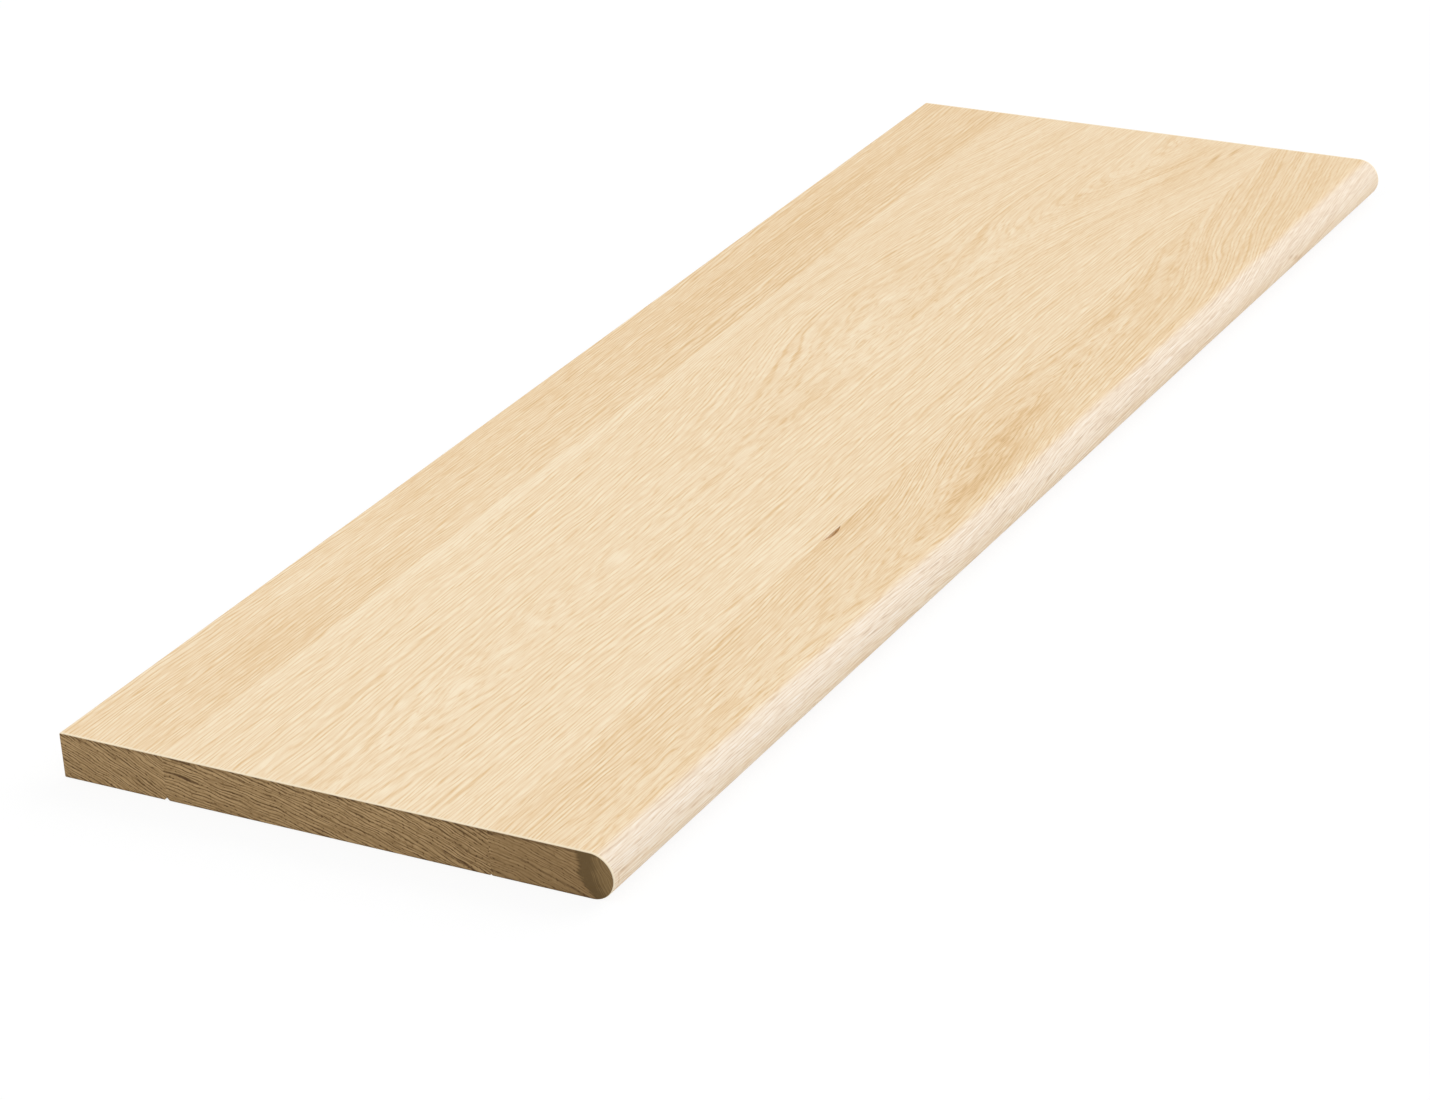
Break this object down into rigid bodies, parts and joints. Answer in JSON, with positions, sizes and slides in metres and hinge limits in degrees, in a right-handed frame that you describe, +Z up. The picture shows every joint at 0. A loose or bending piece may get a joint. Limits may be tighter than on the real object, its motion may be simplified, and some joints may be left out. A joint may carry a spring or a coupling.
{
  "type": "stair tread",
  "caption": "Solid oak stair tread glued up from edge-joined staves, with a full bullnose along the front edge and square ends.",
  "frame": {"origin": "middle of the underside's overall box, on the floor plane", "axes": "+X along the tread's length, -Y towards the nosing, +Z up through the thickness"},
  "size_m": [0.9144, 0.3048, 0.0238],
  "materials": {
    "oak": "sanded, unfinished"
  },
  "bodies": {
    "root": {"back_stave": "oak", "middle_stave": "oak", "nosing_stave": "oak"}
  },
  "joints": []
}
